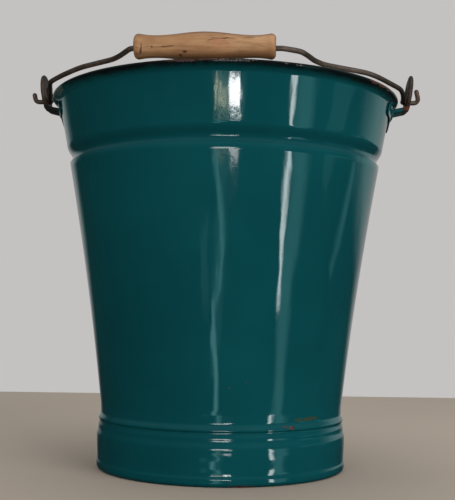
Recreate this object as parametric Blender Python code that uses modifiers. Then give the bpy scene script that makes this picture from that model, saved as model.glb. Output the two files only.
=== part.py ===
"""An enamelled steel bucket with a rolled rim, two welded ears, a wire bail and a turned wooden grip.

Metres, +Z up. The origin is at the middle of the foot, on the ground. The ears lie along X, and the
bail lies forward, with its grip on the rim at -Y.
"""

import math

import bmesh
import bpy
from mathutils import Matrix, Vector
from mathutils.geometry import intersect_line_line_2d

# Sheet metal and fits
SHEET = 0.0009  # enamelled sheet of the body and of the floor
SEAT_GAP = 0.0003  # left between pieces that touch
AROUND = 52  # facets round the body, a multiple of four

# Body, outside sizes
HEIGHT = 0.3014
RIM_RADIUS = 0.1436
ROLL_RADIUS = 0.0030
ROLL_END = math.radians(-120)
WALL_FOOT_RADIUS = 0.0987
WALL_HOLLOW = 0.0027  # how far the wall bows inwards halfway up

# Groove under the rim: sharp at its lower edge, soft at its upper edge
GROOVE_BELOW_TOP = 0.0508
GROOVE_DEPTH = 0.0027
GROOVE_LOWER = 0.0052
GROOVE_UPPER = 0.0084

# Ridge that holds the floor, and the foot band under it
RIDGE_HEIGHT = 0.0451
RIDGE_PROUD = 0.0018
RIDGE_UPPER = 0.0063
NOTCH_BELOW_RIDGE = 0.0056
BAND_HEIGHT = 0.0238
BAND_PROUD = 0.00255
WAIST_HEIGHT = 0.0125
WAIST_PROUD = 0.0010
FOOT_PROUD = 0.0025
HEM_RADIUS = 0.0040
HEM_END = math.radians(-150)
CONTACT_BAND = 0.0020  # flat ring that the bucket stands on

# Floor pan
PAN_DEPTH = 0.0140
PAN_CORNER = 0.0050
PAN_DOME = 0.0020
DOME_RINGS = (0.7, 0.4)  # where the dome is shaped, as shares of its radius

# Ears
EAR_SHEET = 0.0013
WING_REACH = 0.0405
WING_HEIGHT = 0.0095
LEG_DROP = 0.0080
LEG_WIDTH = 0.0180
LEG_SHOULDER = (0.0060, 0.0035)  # the wing's lower edge curves into the leg over this width and drop
LEG_TIP_RADIUS = 0.0040
NECK_WIDTH = 0.0240
NECK_END_WIDTH = 0.0165
NECK_RELIEF = 0.0010
NECK_ROOT_DROP = 0.0020  # from the wings' top to the middle of the neck's sheet
NECK_ROOT_LAP = 0.0050  # how far the neck's sheet runs down the plate
NECK_RISE = math.radians(12)
NECK_BEND = 0.0032
NECK_TAPER_START = 0.5  # share of the neck's length that keeps its full width
NECK_TAPER_CURVE = 1.5
EYE_ABOVE_RIM = 0.0088
EYE_BEYOND_RIM = 0.0098
EYE_RADIUS = 0.0155
EYE_HOLE_RADIUS = 0.0070
EYE_HOLE_DROP = 0.0028  # middle of the hole below the middle of the eye
EYE_SHEET = 0.0042
EYE_LEAN = math.radians(7.5)
EYE_NARROW = 0.90  # width over height
EYE_LAP = 0.3  # share of the metal under the hole that the neck runs into

# Bail
WIRE_RADIUS = 0.00195
LEG_CLEARANCE = 0.0003
LEG_STRAIGHT = 0.0075  # from the eye to the start of the arm
WIRE_BEND = 0.0032
HOOK_BEYOND_EYE = {-1: 0.0098, 1: 0.0097}
HOOK_HEIGHTS = {-1: 0.0080, 1: 0.0117}
HOOK_LEANS = {-1: math.radians(12), 1: math.radians(-11)}
GRIP_INSET = 0.0059  # wire to the rim's middle line, seen from above
GRIP_RUN_IN = 0.0040  # straight wire inside each end of the grip

# Each arm from the ear inwards, as hand-bent: shares of the way from the straight run to the leg,
# and of the bail's reach
ARMS = {
    -1: (
        (0.972, 0.125), (0.924, 0.270), (0.874, 0.405), (0.809, 0.473), (0.688, 0.569), (0.524, 0.681),
        (0.378, 0.751), (0.237, 0.814), (0.188, 0.844), (0.137, 0.886), (0.084, 0.941), (0.032, 0.992),
    ),
    1: (
        (0.984, 0.145), (0.958, 0.237), (0.923, 0.306), (0.836, 0.404), (0.744, 0.503), (0.659, 0.577),
        (0.579, 0.621), (0.425, 0.686), (0.311, 0.739), (0.235, 0.806), (0.197, 0.862), (0.158, 0.917),
        (0.122, 0.953), (0.051, 0.983),
    ),
}
ARM_SPACING = 0.0055

# Grip
GRIP_LENGTH = 0.0998
GRIP_PLAY = 0.0048  # free wire beside the grip
GRIP_MIDDLE_RADIUS = 0.0104
GRIP_WAIST_RADIUS = 0.0079
GRIP_END_RADIUS = 0.0098
GRIP_WAIST_INSET = 0.0150
GRIP_CORNER = 0.0034
BORE_CLEARANCE = 0.0016
STRAIGHT_MIDDLE = -0.0055  # the straight run sits to the left

# Sizes that follow from those above
ROLL_CENTRE = (RIM_RADIUS - ROLL_RADIUS, HEIGHT - ROLL_RADIUS)
WALL_TOP_RADIUS = RIM_RADIUS - 2 * ROLL_RADIUS + SHEET
WALL_FOOT_HEIGHT = RIDGE_HEIGHT + RIDGE_UPPER
NOTCH_HEIGHT = RIDGE_HEIGHT - NOTCH_BELOW_RIDGE
GROOVE_HEIGHT = HEIGHT - GROOVE_BELOW_TOP
FOOT_RADIUS = WALL_FOOT_RADIUS + FOOT_PROUD
WING_TOP = HEIGHT - 2 * ROLL_RADIUS - 2 * SEAT_GAP
WING_BOTTOM = WING_TOP - WING_HEIGHT
NECK_ROOT_HEIGHT = WING_TOP - NECK_ROOT_DROP
EYE_CENTRE = (RIM_RADIUS + EYE_BEYOND_RIM, HEIGHT + EYE_ABOVE_RIM)
EYE_HOLE_REACH = EYE_HOLE_DROP + EYE_HOLE_RADIUS  # from the eye's middle down to the bottom of its hole
PIVOT_HEIGHT = EYE_CENTRE[1] - EYE_HOLE_REACH * math.cos(EYE_LEAN) + SEAT_GAP + WIRE_RADIUS
PIVOT_X = EYE_CENTRE[0] + (PIVOT_HEIGHT - EYE_CENTRE[1]) * math.tan(EYE_LEAN)
LEG_X = PIVOT_X - EYE_SHEET / 2 / math.cos(EYE_LEAN) - LEG_CLEARANCE - WIRE_RADIUS
BAIL_REACH = ROLL_CENTRE[0] - GRIP_INSET
STRAIGHT_HALF = (GRIP_LENGTH + GRIP_PLAY) / 2
GRIP_X = STRAIGHT_MIDDLE - GRIP_PLAY / 2 + SEAT_GAP
BORE_RADIUS = WIRE_RADIUS + BORE_CLEARANCE
GRIP_RISE = BORE_CLEARANCE - SEAT_GAP  # the grip's axis above the wire, which lies at the bottom of the bore


def clear_scene():
    for obj in list(bpy.data.objects):
        bpy.data.objects.remove(obj, do_unlink=True)


def new_collection(name):
    collection = bpy.data.collections.new(name)
    bpy.context.scene.collection.children.link(collection)
    return collection


def add_object(name, data, collection):
    obj = bpy.data.objects.new(name, data)
    collection.objects.link(obj)
    return obj


def make_helper(obj):
    obj.hide_render = True
    obj.display_type = "WIRE"
    return obj


def make_material(name, colour, roughness, metallic):
    material = bpy.data.materials.new(name)
    material.use_nodes = True
    shader = material.node_tree.nodes["Principled BSDF"]
    shader.inputs["Base Color"].default_value = (*colour, 1)
    shader.inputs["Roughness"].default_value = roughness
    shader.inputs["Metallic"].default_value = metallic
    material.diffuse_color = (*colour, 1)
    return material


def shade_by_angle(mesh, angle=math.radians(30)):
    mesh.shade_smooth()
    mesh.set_sharp_from_angle(angle=angle)


# Profiles, as (radius, height) pairs


def arc(centre, radius, start, end, steps):
    """Points from one angle to another about a centre."""
    angles = [start + (end - start) * i / steps for i in range(steps + 1)]
    return [(centre[0] + radius * math.cos(a), centre[1] + radius * math.sin(a)) for a in angles]


def swell(start, end, steps):
    """Points between two turning points of a profile, level at both, without the first."""
    points = []
    for i in range(1, steps + 1):
        share = i / steps
        ease = (1 - math.cos(math.pi * share)) / 2
        points.append((start[0] + (end[0] - start[0]) * ease, start[1] + (end[1] - start[1]) * share))
    return points


def plain_wall_radius(height):
    """The outside of the wall, without its groove: a cone that bows inwards."""
    share = (height - WALL_FOOT_HEIGHT) / (ROLL_CENTRE[1] - WALL_FOOT_HEIGHT)
    cone = WALL_FOOT_RADIUS + (WALL_TOP_RADIUS - WALL_FOOT_RADIUS) * share
    return cone - 4 * WALL_HOLLOW * share * (1 - share)


def groove_depth(height):
    above = height - GROOVE_HEIGHT
    if above >= GROOVE_UPPER or above <= -GROOVE_LOWER:
        return 0.0
    if above >= 0:
        return GROOVE_DEPTH * (1 + math.cos(math.pi * above / GROOVE_UPPER)) / 2
    return GROOVE_DEPTH * (1 - (above / GROOVE_LOWER) ** 2)


def wall_radius(height):
    return plain_wall_radius(height) - groove_depth(height)


def wall_points():
    """The wall from under the rim down to the ridge."""
    groove_top = GROOVE_HEIGHT + GROOVE_UPPER
    groove_foot = GROOVE_HEIGHT - GROOVE_LOWER
    heights = [(ROLL_CENTRE[1] + groove_top) / 2]
    heights += [GROOVE_HEIGHT + GROOVE_UPPER * (4 - i) / 4 for i in range(4)]
    heights += [GROOVE_HEIGHT - GROOVE_LOWER * i / 3 for i in range(4)]
    heights += [groove_foot + (WALL_FOOT_HEIGHT - groove_foot) * i / 5 for i in range(1, 6)]
    return [(wall_radius(height), height) for height in heights]


def foot_points():
    """The ridge, the notch and the foot band, down to the hem."""
    ridge = (WALL_FOOT_RADIUS + RIDGE_PROUD, RIDGE_HEIGHT)
    notch = (WALL_FOOT_RADIUS, NOTCH_HEIGHT)
    band = (WALL_FOOT_RADIUS + BAND_PROUD, BAND_HEIGHT)
    waist = (WALL_FOOT_RADIUS + WAIST_PROUD, WAIST_HEIGHT)
    hem = (FOOT_RADIUS, HEM_RADIUS)
    points = swell((WALL_FOOT_RADIUS, WALL_FOOT_HEIGHT), ridge, 3)
    points += swell(ridge, notch, 3)
    points += swell(notch, band, 4)
    points += swell(band, waist, 2)
    return points + swell(waist, hem, 2)


def hem_points():
    """The sheet rolled inwards at the foot, with a flat ring to stand on."""
    outer = arc((FOOT_RADIUS - HEM_RADIUS, HEM_RADIUS), HEM_RADIUS, 0, -math.pi / 2, 3)
    inner_centre = (FOOT_RADIUS - HEM_RADIUS - CONTACT_BAND, HEM_RADIUS)
    return outer[1:] + arc(inner_centre, HEM_RADIUS, -math.pi / 2, HEM_END, 2)


def body_points():
    roll = arc(ROLL_CENTRE, ROLL_RADIUS - SHEET, ROLL_END, math.pi, 9)
    return roll + wall_points() + foot_points() + hem_points()


def pan_points():
    """The floor: a flange on the ridge's lower flank, a short wall, a corner and a low dome."""
    neck_radius = WALL_FOOT_RADIUS - SHEET - SEAT_GAP
    flange_radius = neck_radius + RIDGE_PROUD
    neck_top = NOTCH_HEIGHT + 2 * SEAT_GAP
    floor_height = RIDGE_HEIGHT - PAN_DEPTH
    corner = (neck_radius - PAN_CORNER, floor_height + PAN_CORNER)
    points = swell((flange_radius, RIDGE_HEIGHT), (neck_radius, neck_top), 3)
    points = [(flange_radius, RIDGE_HEIGHT)] + points
    points += arc(corner, PAN_CORNER, 0, -math.pi / 2, 4)
    dome_radius = corner[0]
    for share in DOME_RINGS:
        points.append((dome_radius * share, floor_height + PAN_DOME * (1 - share**2)))
    return points + [(0.0, floor_height + PAN_DOME)]


def turned(name, points, collection, steps, closed=False):
    """A profile at +X, turned about Z."""
    mesh = bpy.data.meshes.new(name)
    edges = [(i, i + 1) for i in range(len(points) - 1)]
    if closed:
        edges.append((len(points) - 1, 0))
    mesh.from_pydata([(r, 0, z) for r, z in points], edges, [])
    obj = add_object(name, mesh, collection)
    screw = obj.modifiers.new("Turn", "SCREW")
    screw.steps = steps
    screw.render_steps = steps
    screw.use_merge_vertices = True
    screw.merge_threshold = 0.00001
    screw.use_smooth_shade = True
    return obj


def add_thickness(obj, thickness, offset):
    solidify = obj.modifiers.new("Sheet", "SOLIDIFY")
    solidify.thickness = thickness
    solidify.offset = offset
    solidify.use_even_offset = True
    return obj


def make_body(collection, material):
    """One drawn sheet, from the rolled rim down to the rolled foot."""
    body = turned("body_shell", body_points(), collection, AROUND)
    add_thickness(body, SHEET, -1)
    body.data.materials.append(material)
    return body


def make_floor(collection, material):
    """The floor pan, locked in the ridge."""
    floor = turned("floor_pan", pan_points(), collection, AROUND)
    add_thickness(floor, SHEET, -1)
    floor.data.materials.append(material)
    return floor


# Ears


def rounded_path(corners, radius, steps):
    """A run of straight lines with its inner corners rounded, in a plane."""
    points = [Vector(corners[0])]
    for before, corner, after in zip(corners, corners[1:], corners[2:]):
        before, corner, after = Vector(before), Vector(corner), Vector(after)
        into = (corner - before).normalized()
        out = (after - corner).normalized()
        half_turn = into.angle(out) / 2
        cut = radius * math.tan(half_turn)
        start = corner - into * cut
        centre = corner + (out - into).normalized() * radius / math.cos(half_turn)
        spoke = start - centre
        turn = into.angle_signed(out)
        for i in range(steps + 1):
            points.append(centre + Matrix.Rotation(-turn * i / steps, 2) @ spoke)
    return points + [Vector(corners[-1])]


def strap_mesh():
    """The neck: a strip out from the plate under the rim and up into the eye, wider at its root."""
    plate_middle = SEAT_GAP + EAR_SHEET / 2
    low_height = NECK_ROOT_HEIGHT - NECK_ROOT_LAP
    low = (wall_radius(low_height) + plate_middle, low_height)
    root = (wall_radius(NECK_ROOT_HEIGHT) + plate_middle, NECK_ROOT_HEIGHT)
    up = Vector((math.sin(EYE_LEAN), math.cos(EYE_LEAN)))
    eye = Vector(EYE_CENTRE)
    along = Vector(root) + Vector((math.cos(NECK_RISE), math.sin(NECK_RISE)))
    elbow = intersect_lines(Vector(root), along, eye, eye + up)
    tip = eye - up * (EYE_HOLE_REACH + (EYE_RADIUS - EYE_HOLE_REACH) * EYE_LAP)
    path = rounded_path([low, root, elbow, tip], NECK_BEND, 4)
    mesh = bpy.data.meshes.new("strap")
    bm = bmesh.new()
    rows = []
    length = sum((b - a).length for a, b in zip(path, path[1:]))
    travelled = 0.0
    before = path[0]
    for point in path:
        travelled += (point - before).length
        before = point
        ease = max(0.0, travelled / length - NECK_TAPER_START) / (1 - NECK_TAPER_START)
        half = NECK_WIDTH / 2 + (NECK_END_WIDTH - NECK_WIDTH) / 2 * ease**NECK_TAPER_CURVE
        rows.append([bm.verts.new((point[0], side * half, point[1])) for side in (-1, 1)])
    for low_row, high_row in zip(rows, rows[1:]):
        bm.faces.new((low_row[0], low_row[1], high_row[1], high_row[0]))
    bm.to_mesh(mesh)
    bm.free()
    return mesh


def intersect_lines(a, b, c, d):
    """Where the endless line ab meets the endless line cd, in a plane."""
    reach = 10.0
    ab = (b - a).normalized() * reach
    cd = (d - c).normalized() * reach
    return intersect_line_line_2d(a - ab, a + ab, c - cd, c + cd)


def plate_outline():
    """The welded plate seen from outside, as (across, height): two wings and a lower leg."""
    wing_radius = WING_HEIGHT / 2
    wing_middle = WING_BOTTOM + wing_radius
    slot = NECK_WIDTH / 2 + NECK_RELIEF
    tip_height = WING_BOTTOM - LEG_DROP + LEG_TIP_RADIUS
    half = [(slot, NECK_ROOT_HEIGHT), (slot, WING_TOP)]
    half += arc((WING_REACH - wing_radius, wing_middle), wing_radius, math.pi / 2, -math.pi / 2, 8)
    shoulder = (LEG_WIDTH / 2, WING_BOTTOM - LEG_SHOULDER[1])
    half += swell((slot + LEG_SHOULDER[0], WING_BOTTOM), shoulder, 3)
    half += arc((0, tip_height), LEG_TIP_RADIUS, math.radians(-20), -math.pi / 2, 3)
    return half + [(-y, z) for y, z in reversed(half[:-1])]


def outline_prism(name, outline, half_depth, collection):
    """A flat outline in the YZ plane, as deep as asked on both sides along X."""
    curve = bpy.data.curves.new(name, "CURVE")
    curve.dimensions = "2D"
    curve.fill_mode = "BOTH"
    curve.extrude = half_depth
    spline = curve.splines.new("POLY")
    spline.points.add(len(outline) - 1)
    for point, (across, height) in zip(spline.points, outline):
        point.co = (across, height, 0, 1)
    spline.use_cyclic_u = True
    flat = add_object(name + "_outline", curve, collection)
    # The outline's own X, Y and Z become the ear's Y, Z and X
    flat.matrix_world = Matrix(((0, 0, 1, 0), (1, 0, 0, 0), (0, 1, 0, 0), (0, 0, 0, 1)))
    return solid_from_curve(name, flat, collection)


def solid_from_curve(name, curve_object, collection):
    """The curve as a closed mesh object in the same place; the curve goes."""
    bpy.context.view_layer.update()
    evaluated = curve_object.evaluated_get(bpy.context.evaluated_depsgraph_get())
    mesh = bpy.data.meshes.new_from_object(evaluated)
    mesh.name = name
    bm = bmesh.new()
    bm.from_mesh(mesh)
    bmesh.ops.remove_doubles(bm, verts=bm.verts, dist=0.000001)
    bmesh.ops.recalc_face_normals(bm, faces=bm.faces)
    bm.to_mesh(mesh)
    bm.free()
    obj = add_object(name, mesh, collection)
    obj.matrix_world = curve_object.matrix_world.copy()
    bpy.data.objects.remove(curve_object, do_unlink=True)
    return obj


def add_boolean(obj, other, operation):
    boolean = obj.modifiers.new(operation.capitalize(), "BOOLEAN")
    boolean.operation = operation
    boolean.object = other
    boolean.solver = "EXACT"
    return boolean


def ear_sleeve(cutters):
    """A ring of ear sheet that lies on the wall, from which the plate is cut."""
    low = WING_BOTTOM - LEG_DROP - EAR_SHEET
    high = WING_TOP + EAR_SHEET
    heights = [low, (low + high) / 2, high]
    inner = [(wall_radius(z) + SEAT_GAP, z) for z in heights]
    outer = [(r + EAR_SHEET, z) for r, z in inner]
    return make_helper(turned("ear_sleeve", outer[::-1] + inner, cutters, AROUND, closed=True))


def eye_ring(cutters):
    """The eye: a thick oval lug, leaning outwards, with its hole below its middle."""
    around, across = 28, 8
    bm = bmesh.new()
    rows = []
    for i in range(around):
        turn = 2 * math.pi * i / around
        outer = Vector((0, math.cos(turn) * EYE_NARROW, math.sin(turn))) * EYE_RADIUS
        inner = Vector((0, math.cos(turn) * EYE_NARROW, math.sin(turn))) * EYE_HOLE_RADIUS
        inner.z -= EYE_HOLE_DROP
        row = []
        for j in range(across):
            side = 2 * math.pi * j / across
            depth = Vector((EYE_SHEET / 2 * math.sin(side), 0, 0))
            row.append(bm.verts.new((outer + inner) / 2 + (outer - inner) / 2 * math.cos(side) + depth))
        rows.append(row)
    for row, following in zip(rows, rows[1:] + rows[:1]):
        for j in range(across):
            after = (j + 1) % across
            bm.faces.new((row[j], row[after], following[after], following[j]))
    bmesh.ops.recalc_face_normals(bm, faces=bm.faces)
    mesh = bpy.data.meshes.new("eye_ring")
    bm.to_mesh(mesh)
    bm.free()
    lean = Matrix.Rotation(EYE_LEAN, 4, "Y")
    mesh.transform(Matrix.Translation((EYE_CENTRE[0], 0, EYE_CENTRE[1])) @ lean)
    return make_helper(add_object("eye_ring", mesh, cutters))


def make_ears(collection, cutters, material):
    """Both ears from one stamping: plate, neck and eye in one piece."""
    blank = outline_prism("ear_blank", plate_outline(), RIM_RADIUS / 4, cutters)
    blank.data.transform(Matrix.Translation((0, 0, RIM_RADIUS)))
    strap = make_helper(add_object("ear_strap", strap_mesh(), cutters))
    add_thickness(strap, EAR_SHEET * 0.96, 0)
    add_boolean(blank, ear_sleeve(cutters), "INTERSECT")
    add_boolean(blank, strap, "UNION")
    add_boolean(blank, eye_ring(cutters), "UNION")
    bpy.context.view_layer.update()
    evaluated = blank.evaluated_get(bpy.context.evaluated_depsgraph_get())
    mesh = bpy.data.meshes.new_from_object(evaluated)
    mesh.transform(blank.matrix_world)
    mesh.name = "ear"
    make_helper(blank)
    mesh.materials.clear()
    mesh.materials.append(material)
    shade_by_angle(mesh)
    for name, turn in (("ear_right", 0.0), ("ear_left", math.pi)):
        ear = add_object(name, mesh, collection)
        ear.rotation_euler.z = turn


# Bail and grip


def smooth_through(points, spacing):
    """Points along a smooth curve through the given ones, about one spacing apart."""
    ends = [2 * points[0] - points[1]] + points + [2 * points[-1] - points[-2]]
    found = [points[0]]
    for p0, p1, p2, p3 in zip(ends, ends[1:], ends[2:], ends[3:]):
        steps = max(1, round((p2 - p1).length / spacing))
        for i in range(1, steps + 1):
            t = i / steps
            straight = 2 * p1 + (p2 - p0) * t
            bent = (2 * p0 - 5 * p1 + 4 * p2 - p3) * t**2 + (3 * p1 - p0 - 3 * p2 + p3) * t**3
            found.append((straight + bent) / 2)
    return found


def end_points(side):
    """One end of the wire, from the hook's tip through the eye to the leg, with the bail lying flat."""
    lean = HOOK_LEANS[side]
    hook_x = PIVOT_X + HOOK_BEYOND_EYE[side]
    tip = Vector((hook_x + HOOK_HEIGHTS[side] * math.tan(lean), HOOK_HEIGHTS[side]))
    hook = rounded_path([tip, (hook_x, 0), (PIVOT_X, 0)], WIRE_BEND, 4)[:-1]
    leg_end = (LEG_X, -LEG_STRAIGHT)
    leg = rounded_path([(PIVOT_X, 0), (LEG_X, 0), leg_end], WIRE_BEND, 4)[1:]
    points = [Vector((side * x, 0, up)) for x, up in hook]
    return points + [Vector((side * x, back, 0)) for x, back in leg]


def arm_points(side):
    """One arm, from the leg to the end of the straight run."""
    straight_end = STRAIGHT_MIDDLE + side * STRAIGHT_HALF
    span = side * LEG_X - straight_end
    arm = [Vector((side * LEG_X, -LEG_STRAIGHT, 0))]
    for out, reach in ARMS[side]:
        arm.append(Vector((straight_end + span * out, -BAIL_REACH * reach, 0)))
    arm.append(Vector((straight_end, -BAIL_REACH, 0)))
    arm.append(Vector((straight_end - side * GRIP_RUN_IN, -BAIL_REACH, 0)))
    return smooth_through(arm, ARM_SPACING)[1:]


def grip_radius(along):
    """The grip's outside, at a distance from its middle."""
    half = GRIP_LENGTH / 2
    waist = half - GRIP_WAIST_INSET
    along = abs(along)
    if along < waist:
        ease = (1 + math.cos(math.pi * along / waist)) / 2
        return GRIP_WAIST_RADIUS + (GRIP_MIDDLE_RADIUS - GRIP_WAIST_RADIUS) * ease
    share = (along - waist) / GRIP_WAIST_INSET
    return GRIP_WAIST_RADIUS + (GRIP_END_RADIUS - GRIP_WAIST_RADIUS) * share**2


def grip_profile():
    """The turned outside and the bore, as a closed loop of (radius, height)."""
    half = GRIP_LENGTH / 2
    shoulder = half - GRIP_CORNER
    heights = [shoulder * (1 - i / 8) for i in range(8)]
    side = [(grip_radius(z), z) for z in heights]
    corner_centre = (grip_radius(shoulder) - GRIP_CORNER, shoulder)
    upper = arc(corner_centre, GRIP_CORNER, math.pi / 2, 0, 3)[:-1] + side
    outside = upper + [(GRIP_MIDDLE_RADIUS, 0.0)] + [(r, -z) for r, z in reversed(upper)]
    return outside + [(BORE_RADIUS, -half), (BORE_RADIUS, half)]


def clears_rim(tilt):
    """Whether the grip, with the bail lifted by this angle, stays a seat gap clear of the rolled rim."""
    grip_y = GRIP_RISE * math.sin(tilt) - BAIL_REACH * math.cos(tilt)
    grip_z = PIVOT_HEIGHT + GRIP_RISE * math.cos(tilt) + BAIL_REACH * math.sin(tilt)
    for i in range(-40, 41):
        along = GRIP_LENGTH / 2 * i / 40
        rim_y = -math.sqrt(ROLL_CENTRE[0] ** 2 - (GRIP_X + along) ** 2)
        apart = math.hypot(rim_y - grip_y, grip_z - ROLL_CENTRE[1])
        if apart < grip_radius(along) + ROLL_RADIUS + SEAT_GAP:
            return False
    return True


def resting_tilt():
    """The bail's angle above level with its grip resting on the rim."""
    low, high = 0.0, math.radians(30)
    for _ in range(40):
        middle = (low + high) / 2
        if clears_rim(middle):
            high = middle
        else:
            low = middle
    return high


def make_bail(collection, material, tilt):
    """Bent wire: hooks through the eyes, arms, kinks and the straight run in the grip."""
    points = end_points(-1) + arm_points(-1)
    points += reversed(end_points(1) + arm_points(1))
    curve = bpy.data.curves.new("bail_wire", "CURVE")
    curve.dimensions = "3D"
    curve.bevel_depth = WIRE_RADIUS
    curve.bevel_resolution = 2
    curve.use_fill_caps = True
    spline = curve.splines.new("POLY")
    spline.points.add(len(points) - 1)
    for point, place in zip(spline.points, points):
        point.co = (*place, 1)
    curve.materials.append(material)
    bail = add_object("bail_wire", curve, collection)
    bail.location.z = PIVOT_HEIGHT
    bail.rotation_euler.x = -tilt
    return bail


def make_grip(collection, material, bail):
    """The turned wooden grip, free to turn on the wire."""
    grip = turned("wooden_grip", grip_profile(), collection, 24, closed=True)
    grip.data.materials.append(material)
    grip.parent = bail
    grip.location = (GRIP_X, -BAIL_REACH, GRIP_RISE)
    grip.rotation_euler.y = math.pi / 2
    return grip


def main():
    clear_scene()
    parts = new_collection("enamel_bucket")
    cutters = new_collection("cutters")
    outside = make_material("teal_enamel", (0.004, 0.045, 0.055), 0.08, 0.0)
    inside = make_material("pale_enamel", (0.62, 0.62, 0.58), 0.12, 0.0)
    iron = make_material("bare_iron", (0.055, 0.042, 0.035), 0.55, 0.7)
    wood = make_material("turned_wood", (0.33, 0.19, 0.09), 0.6, 0.0)
    make_body(parts, outside)
    make_floor(parts, inside)
    make_ears(parts, cutters, outside)
    bail = make_bail(parts, iron, resting_tilt())
    make_grip(parts, wood, bail)


main()
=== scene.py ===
"""The looks of an enamelled steel bucket: petrol enamel, a black rim, an iron wire bail and a turned grip.

Every length is in metres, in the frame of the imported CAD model: +Z up, the ears along X, the bail lying
forward on the rim at -Y.
"""

import math

import bpy
import numpy as np
from mathutils import Matrix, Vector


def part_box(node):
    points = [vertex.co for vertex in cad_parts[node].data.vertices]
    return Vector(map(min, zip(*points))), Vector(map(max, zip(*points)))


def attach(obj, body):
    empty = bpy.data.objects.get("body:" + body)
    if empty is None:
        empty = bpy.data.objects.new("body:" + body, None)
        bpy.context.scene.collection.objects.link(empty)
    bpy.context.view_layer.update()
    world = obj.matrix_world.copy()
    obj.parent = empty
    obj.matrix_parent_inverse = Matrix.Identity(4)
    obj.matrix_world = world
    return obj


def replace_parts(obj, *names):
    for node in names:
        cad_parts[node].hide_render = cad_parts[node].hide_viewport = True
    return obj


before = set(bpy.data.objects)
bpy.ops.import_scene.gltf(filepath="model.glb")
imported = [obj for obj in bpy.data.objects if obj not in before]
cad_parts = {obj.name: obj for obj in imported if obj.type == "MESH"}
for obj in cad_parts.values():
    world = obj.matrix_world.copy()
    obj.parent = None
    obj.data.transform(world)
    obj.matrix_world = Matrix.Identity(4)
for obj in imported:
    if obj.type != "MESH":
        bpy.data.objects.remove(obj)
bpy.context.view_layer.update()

# Body, as in the CAD source
SHEET = 0.0009
SEAT_GAP = 0.0003
HEIGHT = 0.3014
# The enamelled roll looks flatter than the bare one, and enamel fills the crease under it
RIM_HALF_HEIGHT = 0.0021
RIM_FILL_FROM = math.radians(62)
RIM_FILL_FOOT = 0.2935
RIM_FILL_LEAVES, RIM_FILL_LANDS = 1.5, 5.0  # how far the fill keeps to the roll's slope, and to the wall's
ROLL_FACE_POINTS = 6  # the roll's first points, on the side of the mouth
RIM_RADIUS = 0.1436
ROLL_RADIUS = 0.0030
ROLL_CENTRE = (RIM_RADIUS - ROLL_RADIUS, HEIGHT - ROLL_RADIUS)
WALL_TOP_RADIUS = RIM_RADIUS - 2 * ROLL_RADIUS + SHEET
WALL_FOOT_RADIUS = 0.0987
WALL_HOLLOW = 0.0027
GROOVE_HEIGHT = HEIGHT - 0.0508
GROOVE_DEPTH = 0.0027
GROOVE_LOWER = 0.0052
GROOVE_UPPER = 0.0084
RIDGE_HEIGHT = 0.0451
WALL_FOOT_HEIGHT = RIDGE_HEIGHT + 0.0063
FOOT_RADIUS = WALL_FOOT_RADIUS + 0.0025
HEM_RADIUS = 0.0034
HEM_END = math.radians(-150)
CONTACT_BAND = 0.0020  # flat ring that the bucket stands on
# Places down the foot where the sheet stands upright, as (proud of the wall's foot, height)
WALL_END = (-0.0003, 0.0450)
BEAD_HEIGHT = 0.0401
CREASE_HEIGHT = 0.0387
FOOT_TURNS = (
    WALL_END, (0.0016, BEAD_HEIGHT), (0.0006, CREASE_HEIGHT), (0.0014, 0.0342), (0.00138, 0.0332),
    (0.00258, 0.0270), (0.00252, 0.0240), (0.0019, 0.0084), (0.00252, 0.0056), (0.0025, 0.0034),
)
FLOOR_HEIGHT = RIDGE_HEIGHT - 0.0140
PAN_CORNER = 0.0050
PAN_DOME = 0.0020
PAN_FLANGE = 0.0013  # how far the flange reaches into the ridge

# Ears
EAR_SHEET = 0.0013
NECK_THICKNESS = 0.0040
WING_REACH = 0.0405
WING_TOP = HEIGHT - 2 * ROLL_RADIUS - 2 * SEAT_GAP
WING_BOTTOM = WING_TOP - 0.0095
LEG_DROP = 0.0080
LEG_HALF_WIDTH = 0.0090
NECK_WIDTH = 0.0200
NECK_END_WIDTH = 0.0165
NECK_ROOT_HEIGHT = WING_TOP - 0.0014
NECK_ROOT_LAP = 0.0050  # how far the neck runs down the plate
NECK_RISE = math.radians(12)
NECK_BEND = 0.0032
EYE_CENTRE = (RIM_RADIUS + 0.0098, HEIGHT + 0.0088)
EYE_RADIUS = 0.01549
EYE_HOLE_RADIUS = 0.0070
EYE_HOLE_DROP = 0.0028
EYE_SHEET = 0.0042
EYE_LEAN = math.radians(7.5)
EYE_NARROW = 0.90
EYE_HOLE_REACH = EYE_HOLE_DROP + EYE_HOLE_RADIUS
EYE_LAP = 0.3  # share of the metal under the hole that the neck runs into

# Bail
WIRE_RADIUS = 0.00195
PIVOT_HEIGHT = EYE_CENTRE[1] - EYE_HOLE_REACH * math.cos(EYE_LEAN) + SEAT_GAP + WIRE_RADIUS
PIVOT_X = EYE_CENTRE[0] + (PIVOT_HEIGHT - EYE_CENTRE[1]) * math.tan(EYE_LEAN)
LEG_X = PIVOT_X - EYE_SHEET / 2 / math.cos(EYE_LEAN) - SEAT_GAP - WIRE_RADIUS
LEG_STRAIGHT = 0.0075
WIRE_BEND = 0.0032
HOOK_BEYOND_EYE = {-1: 0.0098, 1: 0.0097}
HOOK_HEIGHTS = {-1: 0.0080, 1: 0.0117}
HOOK_LEANS = {-1: math.radians(12), 1: math.radians(-11)}
BAIL_REACH = ROLL_CENTRE[0] - 0.0059
WIRE_SPACING = 0.0011
GRIP_RUN_IN = 0.0040  # straight wire inside each end of the grip
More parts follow.
